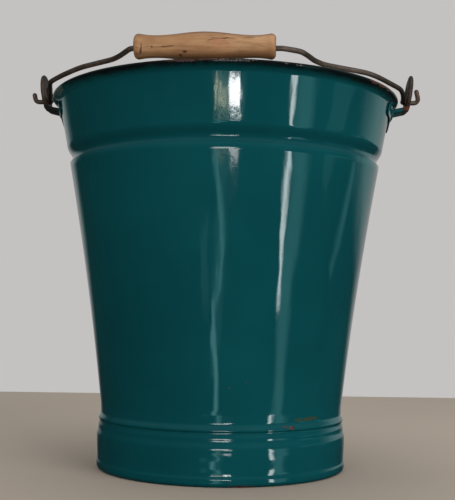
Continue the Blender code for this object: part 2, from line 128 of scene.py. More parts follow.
# Each hand-bent arm from the ear inwards, as shares of the way from straight run to leg, and of the reach
ARMS = {
    -1: (
        (0.972, 0.125), (0.924, 0.270), (0.874, 0.405), (0.809, 0.473), (0.688, 0.569), (0.524, 0.681),
        (0.378, 0.751), (0.237, 0.814), (0.188, 0.844), (0.137, 0.886), (0.084, 0.941), (0.032, 0.992),
    ),
    1: (
        (0.984, 0.145), (0.958, 0.237), (0.923, 0.306), (0.836, 0.404), (0.744, 0.503), (0.659, 0.577),
        (0.579, 0.621), (0.425, 0.686), (0.311, 0.739), (0.235, 0.806), (0.197, 0.862), (0.158, 0.917),
        (0.122, 0.953), (0.051, 0.983),
    ),
}
STRAIGHT_MIDDLE = -0.0055  # the straight run sits to the left

# Grip
GRIP_LENGTH = 0.0998
GRIP_PLAY = 0.0048  # free wire beside the grip
GRIP_MIDDLE_RADIUS = 0.01038
GRIP_WAIST_RADIUS = 0.0079
GRIP_END_RADIUS = 0.0098
GRIP_WAIST_INSET = 0.0150
GRIP_CORNER = 0.0034
BORE_CLEARANCE = 0.0016
BORE_LIP = 0.0004
BORE_RADIUS = WIRE_RADIUS + BORE_CLEARANCE
GRIP_RISE = BORE_CLEARANCE - SEAT_GAP  # the grip's axis above the wire, which lies at the bottom of the bore

grip_low, grip_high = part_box("wooden_grip")
GRIP_CENTRE = (grip_low + grip_high) / 2
BAIL_TILT = math.atan2(GRIP_CENTRE.z - PIVOT_HEIGHT, -GRIP_CENTRE.y) - math.atan2(GRIP_RISE, BAIL_REACH)


# Meshes


def grid_object(name, grid, body, ring=False, inside=None):
    """A surface from a (rows, columns, 3) array of points, quads between neighbours.

    Each row closes on itself. In a ring the last row joins the first, else each end shrinks to its mean
    point. The rows whose share in "inside" is 1 are marked so for the shader.
    """
    rows, columns = grid.shape[:2]
    points = grid.reshape(-1, 3)
    index = np.arange(rows * columns).reshape(rows, columns)
    if ring:
        index = np.vstack([index, index[:1]])
    index = np.hstack([index, index[:, :1]])
    quads = np.stack([index[:-1, :-1], index[:-1, 1:], index[1:, 1:], index[1:, :-1]], -1).reshape(-1, 4)
    corners = [quads.ravel()]
    sizes = [np.full(len(quads), 4)]
    for row, order in () if ring else ((0, [2, 1, 0]), (-1, [0, 1, 2])):
        edge = index[row]
        fan = np.stack([edge[:-1], edge[1:], np.full(len(edge) - 1, len(points))], -1)[:, order]
        points = np.vstack([points, grid[row].mean(axis=0)])
        corners.append(fan.ravel())
        sizes.append(np.full(len(fan), 3))
    corners, sizes = np.concatenate(corners), np.concatenate(sizes)
    mesh = bpy.data.meshes.new(name)
    mesh.vertices.add(len(points))
    mesh.vertices.foreach_set("co", points.astype(np.float32).ravel())
    mesh.loops.add(len(corners))
    mesh.loops.foreach_set("vertex_index", corners.astype(np.int32))
    mesh.polygons.add(len(sizes))
    mesh.polygons.foreach_set("loop_start", np.concatenate([[0], np.cumsum(sizes)[:-1]]).astype(np.int32))
    mesh.update(calc_edges=True)
    mesh.polygons.foreach_set("use_smooth", np.ones(len(sizes), bool))
    if inside is not None:
        marks = mesh.attributes.new("inside", "FLOAT", "POINT")
        at_poles = [] if ring else [inside[0], inside[-1]]
        shares = np.concatenate([np.repeat(inside, columns), at_poles])
        marks.data.foreach_set("value", shares.astype(np.float32))
    mesh.validate()
    if signed_volume(mesh) < 0:
        mesh.flip_normals()
    obj = bpy.data.objects.new(name, mesh)
    bpy.context.scene.collection.objects.link(obj)
    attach(obj, body)
    return obj


def signed_volume(mesh):
    """Positive where the faces point outwards: the sum of each triangle's corner triple product, over six."""
    mesh.calc_loop_triangles()
    corner = np.empty(len(mesh.loop_triangles) * 3, np.int32)
    mesh.loop_triangles.foreach_get("vertices", corner)
    place = np.empty(len(mesh.vertices) * 3, np.float32)
    mesh.vertices.foreach_get("co", place)
    a, b, c = np.moveaxis(place.reshape(-1, 3)[corner.reshape(-1, 3)].astype(float), 1, 0)
    return float(np.einsum("ij,ij->i", a, np.cross(b, c)).sum()) / 6


def arc(centre, radius, start, end, steps):
    """Points on a circle from one angle to another."""
    angle = np.linspace(start, end, steps + 1)
    return np.stack([centre[0] + radius * np.cos(angle), centre[1] + radius * np.sin(angle)], -1)


def swell(start, end, steps):
    """Points between two turning points of a profile, level at both: half a cosine wave."""
    share = np.linspace(0, 1, steps + 1)[1:]
    ease = (1 - np.cos(np.pi * share)) / 2
    return np.stack([start[0] + (end[0] - start[0]) * ease, start[1] + (end[1] - start[1]) * share], -1)


def wall_radius(height):
    """The outside of the wall: a cone that bows inwards as a parabola, less the rounded groove."""
    share = (height - WALL_FOOT_HEIGHT) / (ROLL_CENTRE[1] - WALL_FOOT_HEIGHT)
    cone = WALL_FOOT_RADIUS + (WALL_TOP_RADIUS - WALL_FOOT_RADIUS) * share
    plain = cone - 4 * WALL_HOLLOW * share * (1 - share)
    above = height - GROOVE_HEIGHT
    upper = (1 + np.cos(np.pi * np.clip(above / GROOVE_UPPER, 0, 1))) / 2
    lower = 1 - np.clip(-above / GROOVE_LOWER, 0, 1) ** 2
    return plain - GROOVE_DEPTH * np.minimum(upper, lower)


def directions(points):
    """The unit direction of a line at each of its points."""
    along = np.gradient(points, axis=0)
    return along / np.linalg.norm(along, axis=1)[:, None]


def squarer(wave, power):
    """A wave between -1 and 1 raised to a power with its sign kept: the lower the power, the squarer."""
    return np.sign(wave) * np.abs(wave) ** power


def beside(points, distance):
    """The same line moved to its right by a distance."""
    along = directions(points)
    return points + distance * np.stack([along[:, 1], -along[:, 0]], -1)


def bridge(start, away, end, arrival, steps):
    """A smooth curve between two points that leaves and arrives in given directions: a cubic."""
    t = np.linspace(0, 1, steps + 1)[:, None]
    start, away, end, arrival = (np.array(v, float) for v in (start, away, end, arrival))
    blend = (1 + 2 * t) * (1 - t) ** 2 * start + t * (1 - t) ** 2 * away
    return blend + t**2 * (3 - 2 * t) * end + t**2 * (t - 1) * arrival


def rim_line():
    """The rolled rim's outside: an oval from its inner face over the top, then enamel that fills the crease.

    It comes with its foot on the wall.
    """
    turn = np.linspace(math.pi, -RIM_FILL_FROM, 42)
    radii = ROLL_CENTRE[0] + ROLL_RADIUS * np.cos(turn)
    roll = np.stack([radii, HEIGHT - RIM_HALF_HEIGHT + RIM_HALF_HEIGHT * np.sin(turn)], -1)
    leaving = np.array([-ROLL_RADIUS * math.sin(RIM_FILL_FROM), -RIM_HALF_HEIGHT * math.cos(RIM_FILL_FROM)])
    foot = np.array([wall_radius(RIM_FILL_FOOT), RIM_FILL_FOOT])
    down = foot - [wall_radius(RIM_FILL_FOOT + 0.001), RIM_FILL_FOOT + 0.001]
    fill = bridge(roll[-1], leaving * RIM_FILL_LEAVES, foot, down * RIM_FILL_LANDS, 12)[1:]
    return np.vstack([roll, fill]), foot


def lathe(profile, around, waver=None):
    """A profile of (radius, height) turned about Z; waver(angle, height) is added to the radius."""
    angle = np.linspace(0, 2 * np.pi, around, endpoint=False)
    radius = np.repeat(profile[:, :1], around, axis=1)
    height = np.repeat(profile[:, 1:], around, axis=1)
    if waver is not None:
        radius = radius + waver(angle[None, :], height)
    return np.stack([radius * np.cos(angle), radius * np.sin(angle), height], -1)


def hand_dressed(angle, height):
    """The wall's slight unevenness: a few long waves round the body, none at the rim and foot."""
    rise = np.clip((height - RIDGE_HEIGHT) / (HEIGHT - RIDGE_HEIGHT), 0, 1)
    free = (4 * rise * (1 - rise)) ** 0.7
    waves = 0.00006 * np.sin(3 * angle + 9 * height + 0.4) + 0.00004 * np.sin(7 * angle - 17 * height)
    ripples = 0.000012 * np.sin(19 * angle + 60 * height + 1.0)
    return free * (waves + ripples - 0.00011)


def make_shell():
    """The drawn sheet, from the rolled rim down to the rolled foot: the outside, then back up the inside."""
    rim, rim_foot = rim_line()
    groove_top, groove_foot = GROOVE_HEIGHT + GROOVE_UPPER, GROOVE_HEIGHT - GROOVE_LOWER
    top_heights = np.linspace(ROLL_CENTRE[1], groove_top, 24)
    heights = np.concatenate([
        top_heights,
        np.linspace(groove_top, GROOVE_HEIGHT, 14)[1:],
        np.linspace(GROOVE_HEIGHT, groove_foot, 10)[1:],
        np.linspace(groove_foot, WALL_FOOT_HEIGHT, 40)[1:],
    ])
    wall = np.stack([wall_radius(heights), heights], -1)
    turns = [(WALL_FOOT_RADIUS + proud, height) for proud, height in FOOT_TURNS]
    foot = [swell(above, below, 8) for above, below in zip(turns, turns[1:])]
    outer = arc((FOOT_RADIUS - HEM_RADIUS, HEM_RADIUS), HEM_RADIUS, 0, -math.pi / 2, 8)[1:]
    inner = arc((FOOT_RADIUS - HEM_RADIUS - CONTACT_BAND, HEM_RADIUS), HEM_RADIUS, -math.pi / 2, HEM_END, 5)
    ease_off = np.linspace(wall[-1], turns[0], 7)[1:]
    sheet = np.vstack([wall, ease_off, *foot, outer, inner])
    back = beside(sheet, SHEET)[1:][::-1]
    front = sheet[np.arange(len(sheet)) >= np.searchsorted(-heights, -rim_foot[1])]
    profile = np.vstack([rim, front, back])
    marks = np.concatenate([np.zeros(len(rim) + len(front)), (back[:, 1] > CREASE_HEIGHT).astype(float)])
    marks[:ROLL_FACE_POINTS] = 1
    grid = lathe(profile, 480, hand_dressed)
    shell = grid_object("enamel_shell", grid, "bucket", ring=True, inside=marks)
    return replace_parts(shell, "body_shell")


def make_pan():
    """The floor: a flange in the ridge, a short wall, a corner and a low dome, one sheet thick upwards."""
    neck = WALL_FOOT_RADIUS - SHEET - SEAT_GAP
    flange = neck + PAN_FLANGE
    corner = (neck - PAN_CORNER, FLOOR_HEIGHT + PAN_CORNER)
    top = swell((flange, BEAD_HEIGHT), (neck, CREASE_HEIGHT), 8)
    bend = arc(corner, PAN_CORNER, 0, -math.pi / 2, 10)
    share = np.linspace(1, 0, 14)[1:-1]
    dome = np.stack([corner[0] * share, FLOOR_HEIGHT + PAN_DOME * (1 - share**2)], -1)
    line = np.vstack([[(flange, BEAD_HEIGHT)], top, bend, dome])
    grid = lathe(np.vstack([line[::-1], beside(line, SHEET)]), 180)
    pan = grid_object("floor_sheet", grid, "bucket", inside=np.repeat([0.0, 1.0], len(line)))
    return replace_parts(pan, "floor_pan")


# Ears


def turn_ear(grid, side):
    """The right ear as it is, or turned half round for the left."""
    return grid * np.array([side, side, 1.0])


def plate_edges(across):
    """The plate's upper and lower edge at a distance across: round wings, and a leg tapering under them."""
    wing = (WING_TOP - WING_BOTTOM) / 2
    middle = WING_BOTTOM + wing
    beyond = np.clip((np.abs(across) - (WING_REACH - wing)) / wing, 0, 1)
    round_end = wing * np.sqrt(1 - beyond**2)
    leg = np.clip(1 - np.abs(across) / (LEG_HALF_WIDTH + 0.009), 0, 1)
    return middle + round_end, middle - round_end - LEG_DROP * (leg * leg * (3 - 2 * leg)) ** 0.8


def make_plate(side, name):
    """The welded plate: its outline is filled across, and each cross-section is a flat oval on the wall."""
    across = WING_REACH * np.sin(np.linspace(-math.pi / 2, math.pi / 2, 121))
    top, bottom = plate_edges(across)
    turn = np.linspace(0, 2 * np.pi, 48, endpoint=False)
    depth = squarer(np.sin(turn), 0.5)
    height = (top + bottom)[:, None] / 2 + (top - bottom)[:, None] / 2 * squarer(np.cos(turn), 0.35)
    taper = np.clip((top - bottom)[:, None] / EAR_SHEET, 0, 1)
    radius = wall_radius(height) + SEAT_GAP + EAR_SHEET / 2 + EAR_SHEET / 2 * depth * taper
    angle = np.repeat((across / RIM_RADIUS)[:, None], len(turn), axis=1)
    grid = np.stack([radius * np.cos(angle), radius * np.sin(angle), height], -1)
    return grid_object(f"{name}_plate", turn_ear(grid, side), "bucket")


def bent_line(corners, radius, steps):
    """Straight runs through the corners, each inner corner rounded by an arc that is tangent to both runs."""
    corners = [np.array(c, float) for c in corners]
    points = [corners[0]]
    for before, corner, after in zip(corners, corners[1:], corners[2:]):
        into = (corner - before) / np.linalg.norm(corner - before)
        out = (after - corner) / np.linalg.norm(after - corner)
        half = math.acos(float(np.clip(into @ out, -1, 1))) / 2
        start = corner - into * radius * math.tan(half)
        centre = corner + (out - into) / np.linalg.norm(out - into) * radius / math.cos(half)
        spoke = start - centre
        turn = np.linspace(0, 2 * half, steps + 1)[:, None]
        points.extend(centre + spoke * np.cos(turn) + into * radius * np.sin(turn))
    return np.array(points + [corners[-1]])


def even_line(points, spacing):
    """The same line with its points evenly spaced."""
    lengths = np.linalg.norm(np.diff(points, axis=0), axis=1)
    along = np.concatenate([[0], np.cumsum(lengths)])
    places = np.linspace(0, along[-1], max(2, round(along[-1] / spacing)) + 1)
    return np.stack([np.interp(places, along, points[:, k]) for k in range(points.shape[1])], -1)


def make_neck(side, name):
    """The neck: a strip carried up the plate, out under the rim and up into the eye, narrower at its end."""
    low, root = (
        np.array([wall_radius(height) + SEAT_GAP + EAR_SHEET / 2, height])
        for height in (NECK_ROOT_HEIGHT - NECK_ROOT_LAP, NECK_ROOT_HEIGHT)
    )
    up = np.array([math.sin(EYE_LEAN), math.cos(EYE_LEAN)])
    eye = np.array(EYE_CENTRE)
    # The third corner is where the rising neck meets the eye's own axis
    rise = np.array([math.cos(NECK_RISE), math.sin(NECK_RISE)])
    reach = np.linalg.solve(np.stack([rise, -up], -1), eye - root)
    tip = eye - up * (EYE_HOLE_REACH + (EYE_RADIUS - EYE_HOLE_REACH) * EYE_LAP)
    path = even_line(bent_line([low, root, root + rise * reach[0], tip], NECK_BEND, 12), 0.0005)
    along = directions(path)
    share = np.linspace(0, 1, len(path))
    ease = np.clip(share - 0.5, 0, 1) / 0.5
    half = NECK_WIDTH / 2 + (NECK_END_WIDTH - NECK_WIDTH) / 2 * ease**1.5
    turn = np.linspace(0, 2 * np.pi, 64, endpoint=False)
    thick = squarer(np.sin(turn), 0.55) * NECK_THICKNESS / 2
    # The root sinks halfway into the wall's sheet and no further
    to_wall = path[:, 0] - wall_radius(path[:, 1]) + SHEET / 2
    thick = np.minimum(thick, to_wall[:, None])
    grid = np.stack([
        path[:, :1] - along[:, 1:] * thick,
        half[:, None] * squarer(np.cos(turn), 0.22),
        path[:, 1:] + along[:, :1] * thick,
    ], -1)
    return grid_object(f"{name}_neck", turn_ear(grid, side), "bucket")


def make_eye(side, name):
    """The eye: an oval outer loop and a round hole below its middle, joined by a full-bodied oval section."""
    around = np.linspace(0, 2 * np.pi, 128, endpoint=False)[:, None]
    oval = np.stack([np.cos(around) * EYE_NARROW, np.sin(around)], -1)
    outer = oval * EYE_RADIUS
    inner = oval * EYE_HOLE_RADIUS - [0, EYE_HOLE_DROP]
    turn = np.linspace(0, 2 * np.pi, 40, endpoint=False)
    face = (outer + inner) / 2 + (outer - inner) / 2 * squarer(np.cos(turn), 0.8)[None, :, None]
    lumps = 1 + 0.05 * np.sin(3 * around + 0.7) + 0.03 * np.sin(8 * around)
    deep = EYE_SHEET / 2 * squarer(np.sin(turn), 0.8) * np.minimum(lumps, 1)
    x = EYE_CENTRE[0] + deep * math.cos(EYE_LEAN) + face[..., 1] * math.sin(EYE_LEAN)
    z = EYE_CENTRE[1] - deep * math.sin(EYE_LEAN) + face[..., 1] * math.cos(EYE_LEAN)
    grid = np.stack([x, face[..., 0], z], -1)
    return grid_object(f"{name}_eye", turn_ear(grid, side), "bucket", ring=True)


# Bail


def tube(path, radius, around):
    """A round tube: circles across a path, on two normals made from the tangent and one fixed direction."""
    along = directions(path)
    across = np.cross(along, (0.5, 0.3, 0.8))
    across /= np.linalg.norm(across, axis=1)[:, None]
    up = np.cross(across, along)
    turn = np.linspace(0, 2 * np.pi, around, endpoint=False)
    ring = across[:, None, :] * np.cos(turn)[None, :, None] + up[:, None, :] * np.sin(turn)[None, :, None]
    return path[:, None, :] + ring * radius[:, None, None]


def smooth_line(points, steps):
    """A curve through the points: on each stretch, the cubic with slopes from the neighbours either side."""
    ends = np.vstack([2 * points[0] - points[1], points, 2 * points[-1] - points[-2]])
    p0, p1, p2, p3 = ends[:-3, None], ends[1:-2, None], ends[2:-1, None], ends[3:, None]
    t = np.linspace(0, 1, steps, endpoint=False)[None, :, None]
    bent = 2 * p1 + (p2 - p0) * t + (2 * p0 - 5 * p1 + 4 * p2 - p3) * t**2
    bent = bent + (3 * p1 - p0 - 3 * p2 + p3) * t**3
    return np.vstack([(bent / 2).reshape(-1, points.shape[1]), points[-1:]])


def bail_half(side):
    """One half of the wire with the bail level: hook, eye crossing, leg and hand-bent arm."""
    lean = HOOK_LEANS[side]
    hook_x = PIVOT_X + HOOK_BEYOND_EYE[side]
    tip = (hook_x + HOOK_HEIGHTS[side] * math.tan(lean), HOOK_HEIGHTS[side])
    hook = bent_line([tip, (hook_x, 0), (PIVOT_X, 0)], WIRE_BEND, 10)[:-1]
    leg = bent_line([(PIVOT_X, 0), (LEG_X, 0), (LEG_X, -LEG_STRAIGHT)], WIRE_BEND, 10)[1:]
    straight_end = STRAIGHT_MIDDLE + side * (GRIP_LENGTH + GRIP_PLAY) / 2
    span = side * LEG_X - straight_end
    shares = np.array(ARMS[side])
    arm = np.stack([straight_end + span * shares[:, 0], -BAIL_REACH * shares[:, 1]], -1)
    arm = np.vstack([[(side * LEG_X, -LEG_STRAIGHT)], arm, [(straight_end, -BAIL_REACH)],
                     [(straight_end - side * GRIP_RUN_IN, -BAIL_REACH)]])
    arm = smooth_line(arm, 6)[1:]
    hook = np.stack([side * hook[:, 0], np.zeros(len(hook)), hook[:, 1]], -1)
    leg = np.stack([side * leg[:, 0], leg[:, 1], np.zeros(len(leg))], -1)
    return np.vstack([hook, leg, np.column_stack([arm, np.zeros(len(arm))])])


def make_bail():
    """The wire, with domed ends, turned up by the bail's resting tilt about its axis through the eyes."""
    path = even_line(np.vstack([bail_half(-1), bail_half(1)[::-1]]), WIRE_SPACING)
    smooth = path.copy()
    smooth[1:-1] = (path[:-2] + 2 * path[1:-1] + path[2:]) / 4
    count = np.arange(len(path))
    from_end = np.minimum(count, count[::-1]) * WIRE_SPACING
    dome = np.sqrt(np.clip(1 - np.clip(1 - from_end / WIRE_RADIUS, 0, 1) ** 2, 0.02, 1))
    dents = 1 - 0.012 * (1 + np.sin(count * 0.31)) / 2 - 0.010 * (1 + np.sin(count * 0.83 + 2)) / 2
    y, z = smooth[:, 1].copy(), smooth[:, 2].copy()
    smooth[:, 1] = y * math.cos(BAIL_TILT) + z * math.sin(BAIL_TILT)
    smooth[:, 2] = PIVOT_HEIGHT - y * math.sin(BAIL_TILT) + z * math.cos(BAIL_TILT)
    grid = tube(smooth, WIRE_RADIUS * dome * dents, 32)
    wire = grid_object("iron_bail", grid, "bail")
    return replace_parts(wire, "bail_wire")


def make_grip():
    """The turned grip about its own axis: full in the middle, waisted, flared at its ends, and bored."""
    half = GRIP_LENGTH / 2
    waist = half - GRIP_WAIST_INSET
    shoulder = half - GRIP_CORNER

    def outside(along):
        ease = (1 + np.cos(np.pi * np.clip(along / waist, 0, 1))) / 2
        body = GRIP_WAIST_RADIUS + (GRIP_MIDDLE_RADIUS - GRIP_WAIST_RADIUS) * ease
        flare = np.clip((along - waist) / GRIP_WAIST_INSET, 0, 1) ** 2
        return body + (GRIP_END_RADIUS - GRIP_WAIST_RADIUS) * flare

    places = np.linspace(0, shoulder, 60)
    side = np.stack([outside(places), places], -1)
    end = float(outside(np.array(shoulder)))
    corner = arc((end - GRIP_CORNER, shoulder), GRIP_CORNER, 0, math.pi / 2, 12)[1:]
    face = np.stack([np.linspace(corner[-1][0], BORE_RADIUS + BORE_LIP, 8)[1:], np.full(7, half)], -1)
    lip = arc((BORE_RADIUS + BORE_LIP, half - BORE_LIP), BORE_LIP, math.pi / 2, math.pi, 4)[1:]
    upper = np.vstack([side, corner, face, lip])
    lower = upper[1:][::-1] * [1, -1]
    bore = np.stack([np.full(14, BORE_RADIUS), np.linspace(half - BORE_LIP, BORE_LIP - half, 16)[1:-1]], -1)
    profile = np.vstack([lower, upper, bore])
    turn = np.linspace(0, 2 * np.pi, 144, endpoint=False)
    wear = 1 - 0.006 * np.sin(2 * turn + 60 * profile[:, 1:]) * (profile[:, :1] > BORE_RADIUS + 0.001)
    radius = profile[:, :1] * np.minimum(wear, 1)
    grid = np.stack([
        GRIP_CENTRE.x + np.repeat(profile[:, 1:], len(turn), axis=1),
        GRIP_CENTRE.y + radius * np.cos(turn),
        GRIP_CENTRE.z + radius * np.sin(turn),
    ], -1)
    grip = grid_object("turned_grip", grid, "grip", ring=True)
    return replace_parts(grip, "wooden_grip")


# Shader maths


class Value:
    """A number worked out in a shader. Python arithmetic on it adds Math nodes."""

    def __init__(self, tree, socket):
        self.tree, self.socket = tree, socket

    def maths(self, operation, *others, clamp=False):
        node = self.tree.nodes.new("ShaderNodeMath")
        node.operation = operation
        node.use_clamp = clamp
        for socket, value in zip(node.inputs, others):
            feed(self.tree, socket, value)
        return Value(self.tree, node.outputs[0])

    def __add__(self, other):
        return self.maths("ADD", self, other)

    def __sub__(self, other):
        return self.maths("SUBTRACT", self, other)

    def __rsub__(self, other):
        return self.maths("SUBTRACT", other, self)

    def __mul__(self, other):
        return self.maths("MULTIPLY", self, other)

    def __pow__(self, other):
        return self.maths("POWER", self, other)

    __radd__, __rmul__ = __add__, __mul__

    def at_least(self, other):
        return self.maths("MAXIMUM", self, other)

    def size(self):
        return self.maths("ABSOLUTE", self)

    def held(self):
        """The value kept between 0 and 1."""
        return self.maths("ADD", self, 0.0, clamp=True)

    def ramp(self, low, high):
        """0 at low, 1 at high, smooth between, whichever is the greater."""
        node = self.tree.nodes.new("ShaderNodeMapRange")
        node.interpolation_type = "SMOOTHSTEP"
        ends = (low, high, 0.0, 1.0) if low < high else (high, low, 1.0, 0.0)
        for socket, value in zip(node.inputs, (self, *ends)):
            feed(self.tree, socket, value)
        return Value(self.tree, node.outputs[0])


def feed(tree, socket, value):
    """Links a value or an output to a socket, or sets a plain number, vector or colour on it."""
    if isinstance(value, Value):
        tree.links.new(value.socket, socket)
    elif isinstance(value, bpy.types.NodeSocket):
        tree.links.new(value, socket)
    elif socket.type == "RGBA" and len(value) == 3:
        socket.default_value = (*value, 1.0)
    else:
        socket.default_value = value


class Finish:
    """One material or world being made, with a method for any node and short ones for common patterns."""

    def __init__(self, owner):
        owner.use_nodes = True
        self.owner, self.tree = owner, owner.node_tree
        self.colour = None

    def node(self, kind, settings=None, sockets=None):
        made = self.tree.nodes.new("ShaderNode" + kind)
        for name, value in (settings or {}).items():
            setattr(made, name, value)
        for name, value in (sockets or {}).items():
            feed(self.tree, made.inputs[name], value)
        return made

    def output(self, kind, settings=None, sockets=None, name=0):
        return Value(self.tree, self.node(kind, settings, sockets).outputs[name])

    def place(self):
        """The point on the object, as a vector."""
        return self.node("TexCoord").outputs["Object"]

    def parts(self, vector):
        """X, Y and Z of a vector."""
        split = self.node("SeparateXYZ", sockets={0: vector})
        return [Value(self.tree, socket) for socket in split.outputs]

    def vector(self, x, y, z):
        return self.node("CombineXYZ", sockets={0: x, 1: y, 2: z}).outputs[0]

    def sum(self, a, b):
        return self.node("VectorMath", {"operation": "ADD"}, {0: a, 1: b}).outputs[0]

    def times(self, a, b):
        return self.node("VectorMath", {"operation": "MULTIPLY"}, {0: a, 1: b}).outputs[0]

    def noise(self, vector, scale, detail=3.0, rough=0.5, stretch=None):
        """Cloudy noise, about 0.5 on average. The stretch multiplies each axis first: less is longer."""
        if stretch:
            vector = self.times(vector, stretch)
        sockets = {"Vector": vector, "Scale": scale, "Detail": detail, "Roughness": rough}
        return self.output("TexNoise", None, sockets)

    def cells(self, vector, scale):
        """Distance from the middle of scattered cells."""
        return self.output("TexVoronoi", None, {"Vector": vector, "Scale": scale}, "Distance")

    def marked(self, name):
        """A share that a mesh carries at its points."""
        return self.output("Attribute", {"attribute_name": name}, None, "Fac")

    def turned_away(self):
        """0 where the surface faces the eye, 1 at its edge."""
        return self.output("LayerWeight", None, {"Blend": 0.5}, "Facing")

    def stray(self, point, scale, detail):
        """Noise that differs along each axis, each about 0.5 on average."""
        sockets = {"Vector": point, "Scale": scale, "Detail": detail}
        return self.node("TexNoise", None, sockets).outputs["Color"]

    def strayed(self, point, scale, detail, reach):
        """A point moved about by noise, up to half a reach either way along each axis."""
        moved = self.sum(point, self.times(self.stray(point, scale, detail), reach))
        return self.sum(moved, tuple(-r / 2 for r in reach))

    def mix(self, share, a, b):
        """Colour a where the share is 0, colour b where it is 1."""
        return self.node("Mix", {"data_type": "RGBA"}, {0: share, 6: a, 7: b}).outputs[2]

    def over(self, share, colour):
        """Lays a colour over the one so far."""
        self.colour = self.mix(share, self.colour, colour)

    def bump(self, height, distance, strength, under=None):
        sockets = {"Height": height, "Distance": distance, "Strength": strength}
        if under is not None:
            sockets["Normal"] = under
        return self.node("Bump", None, sockets).outputs[0]

    def spot(self, point, centre, radius, stretch=(1.0, 1.0, 1.0)):
        """1 inside a soft-edged spot round a point, 0 outside; stretch shrinks it along an axis."""
        apart = self.times(self.sum(point, tuple(-c for c in centre)), stretch)
        distance = self.output("VectorMath", {"operation": "LENGTH"}, {0: apart}, "Value")
        return distance.ramp(radius, radius * 0.72)

    def spots(self, point, places):
        """The strongest of several spots."""
        shown = 0.0
        for place in places:
            shown = self.spot(point, *place).at_least(shown)
        return shown


def new_finish(name, **constants):
    """A material whose shader has these constants, and the shader itself."""
    finish = Finish(bpy.data.materials.new(name))
    shader = finish.tree.nodes["Principled BSDF"]
    for socket, value in constants.items():
        feed(finish.tree, shader.inputs[socket.replace("_", " ")], value)
    return finish, shader


def connect(finish, shader, **values):
    """Links what changes over the surface to the shader, and gives the material."""
    for socket, value in values.items():
        feed(finish.tree, shader.inputs[socket.replace("_", " ")], value)
    return finish.owner


def linear(red, green, blue):
    """A display colour, 0 to 255, as linear light."""
    shares = (red / 255, green / 255, blue / 255)
    return tuple(c / 12.92 if c <= 0.04045 else ((c + 0.055) / 1.055) ** 2.4 for c in shares)


# Finishes

TEAL = linear(9, 72, 78)
TEAL_DEEP = linear(7, 66, 72)
TEAL_PALE = linear(24, 90, 94)
BLACK = linear(11, 15, 16)
PALE = linear(205, 205, 196)
RUST = linear(96, 48, 24)
RUST_BRIGHT = linear(150, 82, 40)
RUST_DARK = linear(48, 27, 20)
IRON_WORN = linear(150, 142, 134)

# Marks on the enamel, as (place, radius, stretch if any). Rust on the ridge, the foot's edge and the rim
RUST_SPOTS = (
    ((0.0563, -0.0818, 0.0414), 0.0022, (0.7, 1.0, 1.5)),
    ((0.0520, -0.0850, 0.0424), 0.0018, (0.6, 1.0, 2.4)),
    ((0.0111, -0.1004, 0.0713), 0.0007),
    ((0.0232, -0.0988, 0.0749), 0.0006),
    ((0.0216, -0.0985, 0.0008), 0.0110, (1.0, 1.0, 9.0)),
    ((0.1160, -0.0838, 0.2998), 0.0074, (1.0, 1.0, 4.2)),
    ((0.1235, -0.0735, 0.2996), 0.0072, (1.0, 1.0, 3.8)),
    ((0.1295, -0.0620, 0.2996), 0.0056, (1.0, 1.0, 3.0)),
    ((0.1352, -0.0480, 0.3000), 0.0050, (1.0, 1.0, 3.6)),
)
# Olive dirt beside the rust on the ridge
OLIVE_SPOTS = (
    ((0.0630, -0.0777, 0.0466), 0.0052, (1.0, 1.0, 3.4)),
    ((0.0705, -0.0712, 0.0470), 0.0064, (1.0, 1.0, 3.6)),
    ((0.0753, -0.0655, 0.0473), 0.0042, (1.0, 1.0, 3.6)),
)
# Bare, rubbed places along the rim
WORN_SPOTS = (
    ((0.0493, -0.1341, 0.3003), 0.0022, (0.5, 1.0, 2.2)),
    ((0.0585, -0.1308, 0.2998), 0.0020, (0.5, 1.0, 2.0)),
    ((-0.0650, -0.1278, 0.2999), 0.0009),
    ((-0.0528, -0.1331, 0.3000), 0.0009),
    ((0.0091, -0.1420, 0.3006), 0.0120, (0.8, 1.0, 6.0)),
    ((0.0209, -0.1412, 0.3004), 0.0080, (0.8, 1.0, 6.0)),
)
# The brown strip under the grip
RIM_STRIP = (
    ((-0.0190, -0.1390, 0.3010), 0.0125, (0.65, 1.0, 4.5)),
    ((-0.0010, -0.1402, 0.3010), 0.0090, (0.7, 1.0, 5.0)),
)

# A pale grey patch on the roll at the far left of the rim: painted sheen, a painted reflection of the pale
# wall
RIM_SHEEN_PATCH = (((-0.1310, -0.0590, 0.2985), 0.0190, (1.0, 1.0, 6.5)),)


